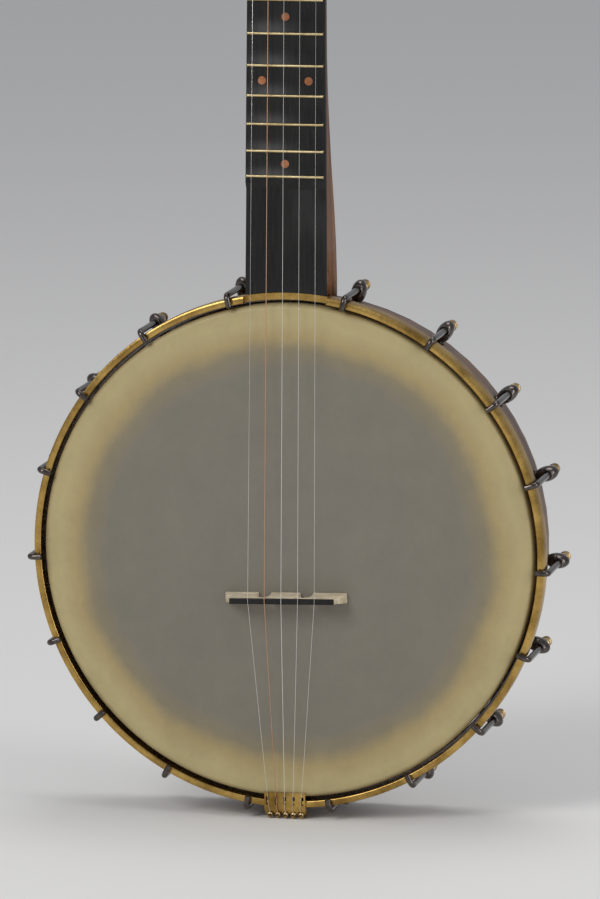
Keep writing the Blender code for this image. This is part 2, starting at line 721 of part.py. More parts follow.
def build_neck(pot, neck, peghead):
    start = HEEL_END - 0.012
    nut_line = SCALE_LENGTH
    shoulder = FIFTH_FRET + SHOULDER_START
    bends = [start + HEEL_LENGTH * i / 8 for i in range(10)]
    bends += [bends[-1] + (shoulder - bends[-1]) * i / 3 for i in range(1, 4)]
    bends += [shoulder + SHOULDER_LENGTH * i / 5 for i in range(1, 6)]
    bends += [bends[-1] + (nut_line - bends[-1]) * i / 3 for i in range(1, 4)]
    shaft = loft([neck_section(along, WOOD_TOP) for along in bends])

    to_neck = Matrix.Translation(peghead.location) @ Matrix.Rotation(-PEGHEAD_TILT, 4, "X")
    front = OVERLAY_THICKNESS + CLEARANCE
    block = prism(
        peghead_outline(0.0), front, front + PEGHEAD_THICKNESS, lambda x, z, y: (x, y, z)
    )
    bores = []
    for x, z in POST_PLACES:
        bores.append(("DIFFERENCE", moved(shank_bore(), to_neck @ Matrix.Translation((NUT_SHIFT + x, 0, z)))))
    to_pot_inverse = neck.matrix_local.inverted()
    pot_cut = moved(pot_outside(0.09), to_pot_inverse)
    pocket = moved(dowel_box(CLEARANCE, RIM_RADIUS - 0.03, pocket_end()), to_pot_inverse)
    peg_bore = moved(fifth_bore(), fifth_peg_place())
    made = combined(
        shaft,
        ("UNION", moved(block, to_neck)),
        ("DIFFERENCE", pot_cut),
        ("DIFFERENCE", pocket),
        ("DIFFERENCE", peg_bore),
        *bores,
    )
    add("neck", made, walnut(), neck)

    board_bends = [start, HEEL_END + 0.05, FIFTH_FRET, shoulder]
    board_bends += [shoulder + SHOULDER_LENGTH * i / 5 for i in range(1, 6)]
    board_bends.append(nut_line - NUT_THICKNESS / 2)
    sections = []
    for along in board_bends:
        left = board_left(along)
        right = board_right(along)
        sections.append([
            (left, BOARD_TOP, along),
            (right, BOARD_TOP, along),
            (right, BOARD_BACK, along),
            (left, BOARD_BACK, along),
        ])
    board = loft(sections)
    scoop_end = LAST_FRET - SCOOP_AFTER_LAST_FRET
    scoop = prism(
        [
            (scoop_end, -0.01),
            (scoop_end, BOARD_TOP),
            (scoop_end - SCOOP_RAMP, BOARD_TOP + SCOOP_DEPTH),
            (start - 0.01, BOARD_TOP + SCOOP_DEPTH),
            (start - 0.01, -0.01),
        ],
        -0.05, 0.05, lambda z, y, x: (x, y, z),
    )
    steps = [("DIFFERENCE", scoop), ("DIFFERENCE", moved(pot_outside(0.09), to_pot_inverse))]
    for number in range(1, FRET_COUNT + 1):
        steps.append(("UNION", fret(SCALE_LENGTH * 2 ** (-number / 12))))
    add("fingerboard", combined(board, *steps), ebony(), neck)

    nut_left = NUT_SHIFT - NUT_WIDTH / 2
    nut_low = nut_line - NUT_THICKNESS / 2 + CLEARANCE
    nut_high = nut_low + NUT_THICKNESS
    nut_top = -STRING_OVER_NUT + CLEARANCE + max(STRING_DIAMETERS) / 2
    nut = prism(
        [
            (nut_low, nut_top),
            (nut_low, WOOD_TOP - CLEARANCE),
            (nut_high, WOOD_TOP - CLEARANCE),
            (nut_high, nut_top + 0.0012),
        ],
        nut_left, nut_left + NUT_WIDTH, lambda z, y, x: (x, y, z),
    )
    add("nut", nut, bone(), neck)

    overlay = prism(
        peghead_outline(nut_high - nut_line + 0.001), 0, OVERLAY_THICKNESS, lambda x, z, y: (x, y, z)
    )
    holes = []
    for x, z in POST_PLACES:
        holes.append(("DIFFERENCE", moved(shank_bore(), Matrix.Translation((NUT_SHIFT + x, 0, z)))))
    add("peghead_overlay", combined(overlay, *holes), ebony(), peghead)

    across = 0.0012
    top = -STRING_OVER_NUT + CLEARANCE + STRING_DIAMETERS[0] / 2
    foot = BOARD_TOP - CLEARANCE
    pip = turned([(0, top), (across, top + 0.0009), (across, foot), (0, foot)], 8)
    add("fifth_string_nut", pip, bone(), neck, (string_x(0, fifth_nut()), 0, fifth_nut()))


def fifth_nut():
    """Distance of the fifth string's own nut from the bridge, just past the fifth fret."""
    return FIFTH_FRET + SHOULDER_START + 0.0034


def pocket_end():
    return RIM_RADIUS + CLEARANCE + DOWEL_IN_HEEL + CLEARANCE


def fret(along):
    left = board_left(along)
    right = board_right(along)
    half = FRET_WIDTH / 2
    outline = [
        (along - half, BOARD_TOP + 0.0008),
        (along - half, BOARD_TOP - FRET_HEIGHT * 0.3),
        (along - half * 0.4, 0),
        (along + half * 0.4, 0),
        (along + half, BOARD_TOP - FRET_HEIGHT * 0.3),
        (along + half, BOARD_TOP + 0.0008),
    ]
    inset = 0.0002
    return prism(outline, left + inset, right - inset, lambda z, y, x: (x, y, z))


def peghead_outline(start):
    """Half widths up the peghead, mirrored: a plain waisted shape with a rounded top."""
    wide = PEGHEAD_HALF_WIDTH
    neck_half = NUT_WIDTH / 2
    length = PEGHEAD_LENGTH
    right = [
        (neck_half, start),
        (neck_half, max(start, 0.0) + 0.008),
        (neck_half + (wide - neck_half) * 0.45, length * 0.14),
        (wide * 0.97, length * 0.23),
        (wide, length * 0.33),
        (wide * 0.9, length * 0.5),
        (wide * 0.86, length * 0.62),
        (wide * 0.95, length * 0.76),
        (wide * 0.98, length * 0.84),
        (wide * 0.82, length * 0.92),
        (wide * 0.5, length * 0.965),
        (wide * 0.22, length * 0.985),
        (0, length),
    ]
    left = [(-x, z) for x, z in right[-2::-1]]
    return [(NUT_SHIFT + x, z) for x, z in right + left]


def shank_bore():
    across = SHANK_RADIUS + CLEARANCE
    return turned([(0, -0.02), (across, -0.02), (across, 0.04), (0, 0.04)], 12)


def fifth_peg_along():
    return FIFTH_FRET + FIFTH_PEG_FROM_FRET


def fifth_peg_place():
    """The fifth peg's axis, in the neck's frame: it points out of the neck's left side."""
    along = fifth_peg_along()
    deep = (WOOD_TOP + neck_thickness(along)) / 2
    flat = Matrix.Rotation(math.pi / 2, 4, "Z")
    return Matrix.Translation((board_left(along), deep, along)) @ flat


def fifth_bore():
    across = SHANK_RADIUS * 0.8 + CLEARANCE
    return turned([(0, -0.012), (across, -0.012), (across, 0.02), (0, 0.02)], 12)


def housing_mesh():
    """Bushing nut, shank and gear drum round a through bore, with the peghead's front at depth 0."""
    bore = POST_RADIUS + CLEARANCE
    bushing = SHANK_RADIUS + 0.002
    wood_back = OVERLAY_THICKNESS + 2 * CLEARANCE + PEGHEAD_THICKNESS
    return ring([
        (bore, -0.0028),
        (bushing, -0.0028),
        (bushing, -CLEARANCE),
        (SHANK_RADIUS, -CLEARANCE),
        (SHANK_RADIUS, wood_back),
        (DRUM_RADIUS, wood_back),
        (DRUM_RADIUS, wood_back + DRUM_LENGTH - 0.002),
        (DRUM_RADIUS * 0.7, wood_back + DRUM_LENGTH),
        (bore, wood_back + DRUM_LENGTH),
    ], 14)


def post_mesh():
    waist = POST_RADIUS * 0.85
    return turned([
        (0, -POST_HEIGHT),
        (POST_RADIUS * 0.7, -POST_HEIGHT),
        (POST_RADIUS, -POST_HEIGHT + 0.0012),
        (POST_RADIUS, -POST_HEIGHT * 0.74),
        (waist, -POST_HEIGHT * 0.66),
        (POST_RADIUS, -POST_HEIGHT * 0.36),
        (POST_RADIUS, 0.008),
        (0, 0.008),
    ], 12)


def button_mesh(width, height, depth):
    """An oval tuner button whose near end is at depth 0."""
    outline = [(0, -1), *[(r, y) for y, r in arc((0, 0), 1, 160, 20, 5)], (0, 1)]
    size = Matrix.Diagonal((width / 2, height / 2, depth / 2, 1))
    return moved(turned(outline, 12), Matrix.Translation((0, height / 2, 0)) @ size)


def knob_mesh():
    wood_back = OVERLAY_THICKNESS + 2 * CLEARANCE + PEGHEAD_THICKNESS
    drum_back = wood_back + DRUM_LENGTH
    button = button_mesh(KNOB_WIDTH, KNOB_HEIGHT, KNOB_DEPTH)
    start = drum_back + CLEARANCE
    shaft = turned([
        (0, 0.0085),
        (POST_RADIUS, 0.0085),
        (POST_RADIUS, start + 0.004),
        (0, start + 0.004),
    ], 12)
    return combined(moved(button, Matrix.Translation((0, start, 0))), ("UNION", shaft))


def build_tuners(neck, peghead):
    housing = housing_mesh()
    post = post_mesh()
    knob = knob_mesh()
    for string, (x, z) in zip((4, 3, 2, 1), POST_PLACES):
        at = (NUT_SHIFT + x, 0, z)
        add(f"tuner_{string}_housing", housing, brass(), peghead, at)
        add(f"tuner_{string}_post", post, brass(), peghead, at)
        add(f"tuner_{string}_knob", knob, ebony(), peghead, at)

    plug = SHANK_RADIUS * 0.8
    inner = 0.0014
    drum_end = CLEARANCE + FIFTH_DRUM_LENGTH
    place = fifth_peg_place()
    at = place.to_translation()
    turn = (0, 0, math.pi / 2)
    housing = turned([
        (0, -0.011),
        (plug, -0.011),
        (plug, CLEARANCE),
        (FIFTH_DRUM_RADIUS, CLEARANCE),
        (FIFTH_DRUM_RADIUS, drum_end),
        (inner + CLEARANCE, drum_end),
        (inner + CLEARANCE, CLEARANCE + 0.001),
        (0, CLEARANCE + 0.001),
    ], 14)
    add("fifth_tuner_housing", housing, brass(), neck, at, turn)
    post_end = drum_end + CLEARANCE + FIFTH_POST_LENGTH
    sleeve = ring([
        (inner + CLEARANCE, drum_end + CLEARANCE),
        (POST_RADIUS * 1.15, drum_end + CLEARANCE),
        (POST_RADIUS, drum_end + 0.0016),
        (POST_RADIUS, post_end - 0.0013),
        (POST_RADIUS * 1.15, post_end),
        (inner + CLEARANCE, post_end),
    ], 12)
    add("fifth_tuner_post", sleeve, brass(), neck, at, turn)
    button = button_mesh(KNOB_WIDTH * 0.8, KNOB_HEIGHT * 0.9, KNOB_DEPTH * 0.85)
    start = post_end + CLEARANCE
    shaft = turned([
        (0, CLEARANCE + 0.0015),
        (inner, CLEARANCE + 0.0015),
        (inner, start + 0.004),
        (0, start + 0.004),
    ], 12)
    knob = combined(moved(button, Matrix.Translation((0, start, 0))), ("UNION", shaft))
    add("fifth_tuner_knob", knob, ebony(), neck, at, turn)


def wound(start, centre, flat, up, axis, radius, pitch, turns, inner_side):
    """Points of a string from start, tangent to a post and then round it. flat and up span the turns' plane."""
    away = start - centre
    x = away.dot(flat)
    y = away.dot(up)
    distance = math.hypot(x, y)
    direction = math.atan2(y, x)
    spread = math.acos(radius / distance)
    options = [direction + spread, direction - spread]
    touch = max(options, key=lambda angle: inner_side * math.cos(angle))
    sense = 1 if touch == options[0] else -1
    level = away.dot(axis)
    steps = round(12 * turns)
    found = []
    for step in range(steps + 1):
        angle = touch + sense * 2 * math.pi * step / 12
        rise = pitch * step / 12
        found.append(centre + radius * (math.cos(angle) * flat + math.sin(angle) * up) + axis * rise)
    return found, level


def build_strings(pot, neck, peghead):
    to_pot = neck.matrix_local
    head_to_pot = neck.matrix_local @ peghead.matrix_local
    turns = (2.5, 2.25, 2.75, 2.75, 2.5)
    for index, diameter in enumerate(STRING_DIAMETERS):
        radius = diameter / 2
        over = CLEARANCE + radius
        pitch = diameter + TURN_GAP
        pin_y, pin_z = tail_lip(0.62)
        lip_y, lip_z = tail_lip(0)
        normal = Vector((0, -1, -1)).normalized()
        down = Vector((0, 1, -1)).normalized()
        loop_radius = PIN_RADIUS * 1.0 + over
        pin = Vector((pin_x(index), pin_y, pin_z)) + normal * (over + 0.0003)
        loop = []
        for step in range(11):
            angle = math.radians(-150 + 300 * step / 10)
            side = Vector((1, 0, 0)) * math.sin(angle) + down * math.cos(angle)
            loop.append(pin + loop_radius * side + normal * (0.0001 * step))
        plate_x = TAIL_SHIFT + (index - 2) * TAIL_STRING_SPACING
        edge = Vector((plate_x, lip_y - over - 0.0003, -HOOP_INNER + 0.0062))
        at_lip = Vector((pin_x(index), lip_y - over - 0.0003, lip_z + 0.0005))
        slant = math.tan(BRIDGE_SLANT) * (string_x(index, 0) - BRIDGE_SHIFT)
        bridge = Vector((string_x(index, 0), -BRIDGE_HEIGHT - over, BRIDGE_LINE - slant))
        points = [*loop, at_lip, edge, bridge]
        if index == 0:
            along = fifth_nut()
            points.append(to_pot @ Vector((string_x(0, along), -STRING_OVER_NUT, along)))
            place = fifth_peg_place()
            middle = CLEARANCE * 2 + FIFTH_DRUM_LENGTH + FIFTH_POST_LENGTH * 0.36
            centre = to_pot @ (place @ Vector((0, middle, 0)))
            base = to_pot.to_3x3()
            flat, up, axis = base @ Vector((0, -1, 0)), base @ Vector((0, 0, 1)), Vector((-1, 0, 0))
            side = 1
            post_radius = POST_RADIUS
        else:
            along = SCALE_LENGTH
            x, z = POST_PLACES[index - 1]
            points.append(to_pot @ Vector((string_x(index, along), -STRING_OVER_NUT, along)))
            over_nut = Vector((string_x(index, along), -STRING_OVER_NUT, along + NUT_THICKNESS / 2))
            points.append(to_pot @ over_nut)
            centre = head_to_pot @ Vector((NUT_SHIFT + x, -POST_HEIGHT * 0.62, z))
            base = head_to_pot.to_3x3()
            flat, up, axis = Vector((1, 0, 0)), base @ Vector((0, 0, 1)), base @ Vector((0, 1, 0))
            side = 1 if x < 0 else -1
            post_radius = POST_RADIUS
        coil, _ = wound(
            points[-1], centre, flat, up, axis, post_radius + over, pitch, turns[index], side
        )
        name = f"string_{5 - index}"
        print(f"{name}: least gap between turns {least_gap(coil, diameter) * 1000:.2f} mm")
        finish = bronze() if index == 1 else steel()
        add(name, tube(points + coil, radius, 5), finish, pot)


def least_gap(points, diameter):
    """Least distance between points of a coil that are at least half a turn apart, less the wire's thickness."""
    apart = [
        (a - b).length
        for i, a in enumerate(points)
        for b in points[i + 6:]
    ]
    return min(apart) - diameter


def build():
    clear_scene()
    hanger = empty("hanger_rest")
    bridge_top = -BRIDGE_HEIGHT + STRING_OVER_FRETS
    plane_rise = Vector((0, math.sin(NECK_TILT), math.cos(NECK_TILT)))
    behind = Vector((0, math.cos(NECK_TILT), -math.sin(NECK_TILT)))
    along = SCALE_LENGTH - HANGER_BELOW_NUT
    neck_start = Vector((0, bridge_top, BRIDGE_LINE))
    rest = neck_start + plane_rise * along + behind * neck_thickness(along)
    pot = empty("pot_centre", hanger, -rest)
    neck = empty("neck_line", pot, neck_start, NECK_TILT)
    peghead = empty("peghead_face", neck, (0, WOOD_TOP - OVERLAY_THICKNESS - CLEARANCE, SCALE_LENGTH), PEGHEAD_TILT)
    bpy.context.view_layer.update()

    build_pot(pot)
    build_brackets(pot)
    build_inside(pot)
    build_tailpiece(pot)
    build_bridge(pot)
    build_neck(pot, neck, peghead)
    build_tuners(neck, peghead)
    build_strings(pot, neck, peghead)


build()
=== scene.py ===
import json
import math

import bmesh
import bpy
from mathutils import Matrix, Vector


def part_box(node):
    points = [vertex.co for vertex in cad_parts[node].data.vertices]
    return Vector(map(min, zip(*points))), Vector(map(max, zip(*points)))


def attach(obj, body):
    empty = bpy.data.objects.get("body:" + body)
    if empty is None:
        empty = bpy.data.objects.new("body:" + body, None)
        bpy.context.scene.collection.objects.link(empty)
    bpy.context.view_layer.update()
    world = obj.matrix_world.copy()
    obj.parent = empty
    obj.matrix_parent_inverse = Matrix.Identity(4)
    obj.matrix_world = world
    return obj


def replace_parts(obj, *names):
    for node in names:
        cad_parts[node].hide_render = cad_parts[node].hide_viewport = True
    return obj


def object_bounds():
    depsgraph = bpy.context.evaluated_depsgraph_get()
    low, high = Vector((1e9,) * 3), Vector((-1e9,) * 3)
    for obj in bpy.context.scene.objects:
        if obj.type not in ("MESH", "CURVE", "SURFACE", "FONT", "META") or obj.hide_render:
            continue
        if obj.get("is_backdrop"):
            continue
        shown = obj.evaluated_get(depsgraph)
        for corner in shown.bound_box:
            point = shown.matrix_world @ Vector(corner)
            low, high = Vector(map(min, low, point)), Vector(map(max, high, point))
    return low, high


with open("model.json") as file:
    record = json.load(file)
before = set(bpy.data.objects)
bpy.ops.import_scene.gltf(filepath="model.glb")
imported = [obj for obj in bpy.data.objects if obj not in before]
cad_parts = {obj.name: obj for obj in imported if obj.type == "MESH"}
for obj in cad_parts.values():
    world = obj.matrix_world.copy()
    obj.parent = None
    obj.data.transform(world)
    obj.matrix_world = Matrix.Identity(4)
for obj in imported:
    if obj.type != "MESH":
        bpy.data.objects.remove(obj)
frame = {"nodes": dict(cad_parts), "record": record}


def plain_box():
    return [[float(value) for value in corner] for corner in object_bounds()]


SIZE = {"cad": plain_box()}

# Everything is in metres. POT is the middle of the head's front. BACKWARD turns a shape's own Z axis to +Y.
head_low, head_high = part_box("head")
POT = Vector(((head_low.x + head_high.x) / 2, head_low.y, (head_low.z + head_high.z) / 2))
BACKWARD = Matrix.Rotation(-math.pi / 2, 4, "X")
POT_AXIS = Matrix.Translation(POT) @ BACKWARD
RIGHT = Vector((1, 0, 0))

# Camera, fitted to the photograph. Angles are in degrees from straight ahead of the head.
CAMERA_TURN = 12.1724
CAMERA_RISE = 9.2869
CAMERA_ROLL = -0.2745
CAMERA_DISTANCE = 4.5465
CAMERA_TARGET = POT + Vector((0.0082, 0, 0.06402))
SENSOR_WIDTH = 36
LENS = 298.22
FAR_CLIP = 100

# Surroundings. A lamp has a name, a place from LAMP_TARGET, a width and height, and a power in watts.
LAMP_TARGET = POT + Vector((0, 0, 0.1))
LAMPS = (
    ("key", (-1.6, -2.6, 2.0), (1.4, 1.8), 52),
    ("side", (2.4, -0.9, 0.7), (0.6, 2.0), 20),
    ("top", (0.2, 0.6, 2.6), (1.6, 1.0), 16),
)
WORLD_COLOR = (0.93, 0.95, 1.0)
WORLD_STRENGTH = 0.42
FLOOR_COLOR = (0.80, 0.79, 0.77)
FLOOR_ROUGHNESS = 0.9
FLOOR_REACH = 30

# Materials. The grain is drawn out along the axis with the small factor.
GRAIN_ALONG_NECK = (1.0, 1.0, 0.07)
GRAIN_ALONG_BRIDGE = (0.08, 1.0, 1.0)
STREAKS_ALONG_NECK = (1.0, 1.0, 0.06)
FIBRES_IN_SKIN = (1.0, 1.0, 0.8)
GRAIN_PER_RADIAN = 0.012
WINDING_PITCH = 0.00042
WOOD_SPECULAR = 0.3
SKIN_SHEEN = 0.05
# The head's colours by radius, as shares of SKIN_COLOR_RADIUS: plain grey skin in the middle, then a
# painted honey-coloured ring of light near the rim. The ring stands for the tone ring showing through the
# skin and the crown catching the light. SKIN_COLOR_WANDER makes the ring's edges wander.
SKIN_COLOR_WANDER = 0.018
SKIN_COLOR_RADIUS = 0.156
SKIN_COLORS_AND_PAINTED_RING = (
    (0.0, (0.205, 0.185, 0.148)),
    (0.72, (0.198, 0.182, 0.142)),
    (0.80, (0.245, 0.205, 0.128)),
    (0.855, (0.400, 0.310, 0.140)),
    (0.925, (0.465, 0.385, 0.190)),
    (0.97, (0.445, 0.365, 0.175)),
    (1.0, (0.30, 0.225, 0.100)),
)

# Nodes whose finish isn't the one of their slot, and the width of the rounding on edges that show it.
OTHER_FINISHES = {"rim": "rim", "flesh_hoop": "dark_nickel"}
SOFT_EDGES = {
    "bridge": 0.0004,
    "bridge_saddle": 0.0003,
    "nut": 0.0004,
    "dowel_stick": 0.0012,
    "neck_brace": 0.0004,
    "peghead_overlay": 0.0004,
    "flesh_hoop": 0.0006,
}
SOFT_EDGE_SEGMENTS = 2
SOFT_EDGE_ANGLE = math.radians(40)
SMOOTH_ANGLE = math.radians(35)
WELD_DISTANCE = 0.000002

# Head and hoops. Depths run back from the head's front. CLEARANCE is the gap between touching solids.
ROUND_SIDES = 256
CLEARANCE = 0.0003
RIM_RADIUS = 0.1524
RIM_INNER = RIM_RADIUS - 0.011
SKIN = 0.0004
SKIN_RADIUS = RIM_RADIUS + CLEARANCE + SKIN
SKIN_SHOULDER = 0.0036
SHOULDER_STEPS = 8
FLAT_RADIUS = 0.1
CENTRE_RADIUS = 0.0005
HOOP_GAP = 0.0024
HOOP_WALL = 0.0041
HOOP_HEIGHT = 0.0127
HOOP_INNER = SKIN_RADIUS + HOOP_GAP
HOOP_OUTER = HOOP_INNER + HOOP_WALL
HOOP_FRONT = -0.0006
HOOP_BACK = HOOP_FRONT + HOOP_HEIGHT
HOOP_EDGE = 0.0003
HOOP_LIP = 0.0004
FLESH_HEIGHT = 0.005
COLLAR_BACK = HOOP_BACK + FLESH_HEIGHT
NOTCH_DEPTH = 0.0066
NOTCH_CUTTER_FRONT = -0.02
NOTCH_CUTTER_REACH = (0.135, 0.18)

# Brackets. Angles are in degrees from the neck, heights run out from the pot's axis.
NECK_BRACKET_ANGLE = 13.1
FIRST_BRACKET_ANGLE = 34.2
LAST_BRACKET_ANGLE = 170.7
BRACKETS_PER_SIDE = 8
HOOK_RADIUS = 0.0019
HOOK_GAP = 0.0008
HOOK_HEIGHT = HOOP_OUTER + HOOK_RADIUS + HOOK_GAP
HOOK_DEPTHS = (0.012, 0.035, 0.0515)
HOOK_SIDES = 16
CLAW_DEPTH = HOOP_FRONT - CLEARANCE - HOOK_RADIUS
CLAW_BEND = 0.0030
CLAW_STEPS = 8
SHOE_DEPTH = 0.0435
SHOE_HEIGHT = RIM_RADIUS + CLEARANCE + 0.0075
SHOE_RADII = (0.0048, 0.0066, 0.00755)
SHOE_STEPS = 18
SHOE_SIDES = 28
FOOT_SIDES = 24
COLLAR_DEPTHS = (SHOE_DEPTH - 0.0075, SHOE_DEPTH + 0.0059)
NUT_DEPTH = SHOE_DEPTH + 0.0071
SMALL_SIDES = 20
METAL = 0
NUT_METAL = 1

# Rounded tip of the claw as (height, radius), and the turned pieces as (radius, height) profiles.
CLAW_TIP = (
    (HOOP_INNER - 0.00095, 0.0009),
    (HOOP_INNER - 0.00075, 0.0015),
    (HOOP_INNER - CLEARANCE, HOOK_RADIUS),
    (HOOP_INNER + HOOK_RADIUS, HOOK_RADIUS),
)
FOOT_PROFILE = (
    (0.0042, RIM_RADIUS + 0.0004),
    (0.0042, RIM_RADIUS + 0.0013),
    (0.0036, RIM_RADIUS + 0.0019),
    (0.0034, RIM_RADIUS + 0.0046),
)
SCREW_PROFILE = (
    (0.0021, RIM_INNER - 0.0027),
    (0.0036, RIM_INNER - 0.0023),
    (0.0044, RIM_INNER - 0.0015),
    (0.0044, RIM_INNER - 0.0004),
)
COLLAR_PROFILE = ((0.0026, -0.0003), (0.0030, 0), (0.0031, 0.0012), (0.0028, 0.0016))
NUT_PROFILE = (
    (0.0028, 0.0), (0.0033, 0.0004), (0.0033, 0.0040), (0.0029, 0.0045), (0.0029, 0.0053),
    (0.0036, 0.0058), (0.0036, 0.0070), (0.0029, 0.0075), (0.0029, 0.0082), (0.0034, 0.0087),
    (0.0034, 0.0096), (0.0027, 0.0101), (0.0025, 0.0104), (0.0013, 0.0107),
)

# Neck. Lengths along it run from the bridge line, where the frets' tops are FRET_PLANE before the head.
SCALE_LENGTH = 0.617
NECK_TILT = math.radians(3.27)
BRIDGE_LINE = -0.028
BRIDGE_HEIGHT = 0.0158
STRING_OVER_FRETS = 0.0052
FRET_PLANE = BRIDGE_HEIGHT - STRING_OVER_FRETS
FIFTH_FRET = SCALE_LENGTH * 2 ** (-5 / 12)
NECK = Matrix.Translation(POT + Vector((0, -FRET_PLANE, BRIDGE_LINE))) @ Matrix.Rotation(-NECK_TILT, 4, "X")

# Board. The solid has POT_END_WIDTH 29 mm higher up, so the frets end up to 0.4 mm inside its right edge.
POT_END = 0.1587
POT_END_WIDTH = 0.0504
POT_END_SHIFT = -0.001
NUT_WIDTH = 0.0349
NUT_SHIFT = 0.0018
FIFTH_FRET_WIDTH = 0.0467
SHOULDER_START = FIFTH_FRET + 0.0044
SHOULDER_LENGTH = 0.014
BRIDGE_SPACING = 0.0104
BRIDGE_SHIFT = -0.0007
NUT_SPACING = 0.0095
FOURTH_STRING_MARGIN = 0.0032
BOARD_TOP = 0.0011

# Frets and dots. A fret's crown rises from CROWN_DEPTH towards -Y, and its ends slope over FRET_SLOPE.
FRET_COUNT = 15
FRET_HALF_WIDTH = 0.00082
FRET_END_GAP = 0.0001
FRET_BASE = BOARD_TOP - 0.0001
FRET_SIDE = 0.0007
FRET_SLOPE = 0.0006
CROWN_DEPTH = 0.0006
CROWN_HEIGHT = 0.0007
CROWN_SHARE = 0.95
CROWN_STEPS = 6
DOUBLE_DOT = 0.0145
DOTS = {3: (0,), 5: (0,), 7: (0,), 10: (0,), 12: (-DOUBLE_DOT, DOUBLE_DOT), 15: (0,)}
DOT_RADIUS = 0.0025
DOT_SIDES = 24
DOT_BACK = BOARD_TOP + 0.0005
DOT_FRONT = BOARD_TOP - 0.00005

# Tailpiece and the strings' end loops: two wraps round each pin, as (loop's radius, wire's radius, lift).
STRING_COUNT = 5
MIDDLE_STRING = 2
TAIL_SHIFT = -0.002
TAIL_SPACING = 0.0055
SLOT_DEPTH = -0.0015
SLOT_RISE = -HOOP_INNER + CLEARANCE
SLOT_SIZE = (0.0016, 0.004, 0.0052)
PIN_SPACING = 0.00486
PIN_DEPTH = 0.0011
PIN_RISE = -HOOP_OUTER - 0.0033
PIN_OUT = Vector((0, -1, -1)).normalized()
LOOP_LIFT = 0.0014
LOOP_STEPS = 20
WIRE_SIDES = 8
WRAPS = ((0.00135, 0.00036, 0.0), (0.0014, 0.0003, 0.0006))


# Camera and surroundings.


def link_object(name, data):
    made = bpy.data.objects.new(name, data)
    bpy.context.scene.collection.objects.link(made)
    return made


def add_camera():
    """The photograph's long lens, slightly above the pot and to its right."""
    turn = math.radians(CAMERA_TURN)
    rise = math.radians(CAMERA_RISE)
    roll = math.radians(CAMERA_ROLL)
    back = Vector((math.sin(turn) * math.cos(rise), -math.cos(turn) * math.cos(rise), math.sin(rise)))
    right = (-back).cross(Vector((0, 0, 1))).normalized()
    up = right.cross(-back)
    across = math.cos(roll) * right + math.sin(roll) * up
    above = -math.sin(roll) * right + math.cos(roll) * up
    camera = link_object("camera", bpy.data.cameras.new("camera"))
    facing = Matrix((across, above, back)).transposed().to_4x4()
    camera.matrix_world = Matrix.Translation(CAMERA_TARGET + back * CAMERA_DISTANCE) @ facing
    camera.data.sensor_width = SENSOR_WIDTH
    camera.data.lens = LENS
    camera.data.clip_end = FAR_CLIP
    bpy.context.scene.camera = camera


def add_lamps():
    for name, offset, size, power in LAMPS:
        light = bpy.data.lights.new(name, "AREA")
        light.shape = "RECTANGLE"
        light.size, light.size_y = size
        light.energy = power
        lamp = link_object(name, light)
        lamp.location = LAMP_TARGET + Vector(offset)
        lamp.rotation_euler = (-Vector(offset)).to_track_quat("-Z", "Y").to_euler()


def add_world():
    world = bpy.data.worlds.new("studio")
    world.use_nodes = True
    background = world.node_tree.nodes["Background"].inputs
    background["Color"].default_value = (*WORLD_COLOR, 1)
    background["Strength"].default_value = WORLD_STRENGTH
    bpy.context.scene.world = world
    bpy.context.scene.view_settings.view_transform = "Standard"


def add_floor():
    """A plain floor at the instrument's lowest point."""
    reach, low = FLOOR_REACH, SIZE["cad"][0][2]
    corners = [(-reach, -reach, low), (reach, -reach, low), (reach, reach, low), (-reach, reach, low)]
    mesh = bpy.data.meshes.new("floor")
    mesh.from_pydata(corners, [], [(0, 1, 2, 3)])
    mesh.materials.append(Finish("floor", FLOOR_COLOR, FLOOR_ROUGHNESS).material)
    link_object("floor", mesh)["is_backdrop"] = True


# Materials.


